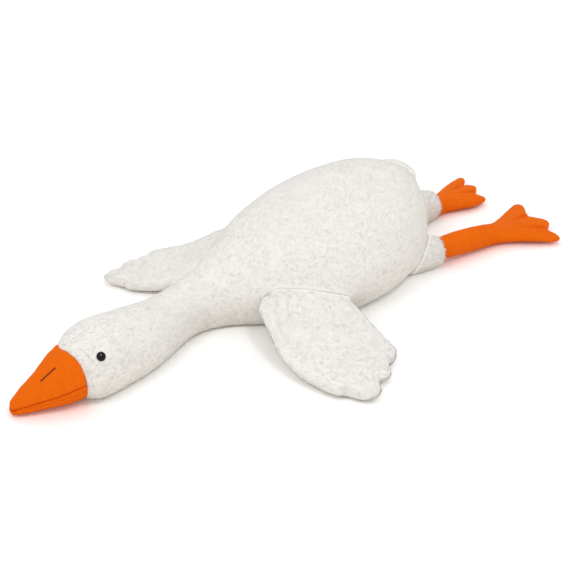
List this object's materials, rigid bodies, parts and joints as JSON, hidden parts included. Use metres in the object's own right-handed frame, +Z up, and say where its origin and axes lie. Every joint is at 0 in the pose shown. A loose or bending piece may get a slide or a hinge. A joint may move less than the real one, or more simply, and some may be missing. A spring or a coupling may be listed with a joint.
{
  "type": "plush goose",
  "caption": "Large stuffed goose toy lying on its belly, with a long neck, spread padded wings, a short tail, webbed feet, a padded bill and safety eyes.",
  "frame": {"origin": "middle of the overall box in plan, on the floor under the goose", "axes": "+Z up, head towards -Y and feet towards +Y, the goose's left side at +X"},
  "size_m": [0.6992, 1.3147, 0.2227],
  "materials": {
    "white_plush": "short soft pile",
    "orange_plush": "very short pile",
    "eye": "polished",
    "washer": "moulded",
    "thread": "twisted thread"
  },
  "bodies": {
    "root": {"body": "white_plush", "tail": "white_plush", "wing_left": "white_plush", "wing_right": "white_plush", "thigh_left": "white_plush", "thigh_right": "white_plush", "leg_left": "orange_plush", "leg_right": "orange_plush", "bill_upper": "orange_plush", "bill_lower": "orange_plush", "eye_left": "eye", "eye_right": "eye", "eye_washer_left": "washer", "eye_washer_right": "washer", "nostril_stitch_left": "thread", "nostril_stitch_right": "thread"}
  },
  "joints": []
}
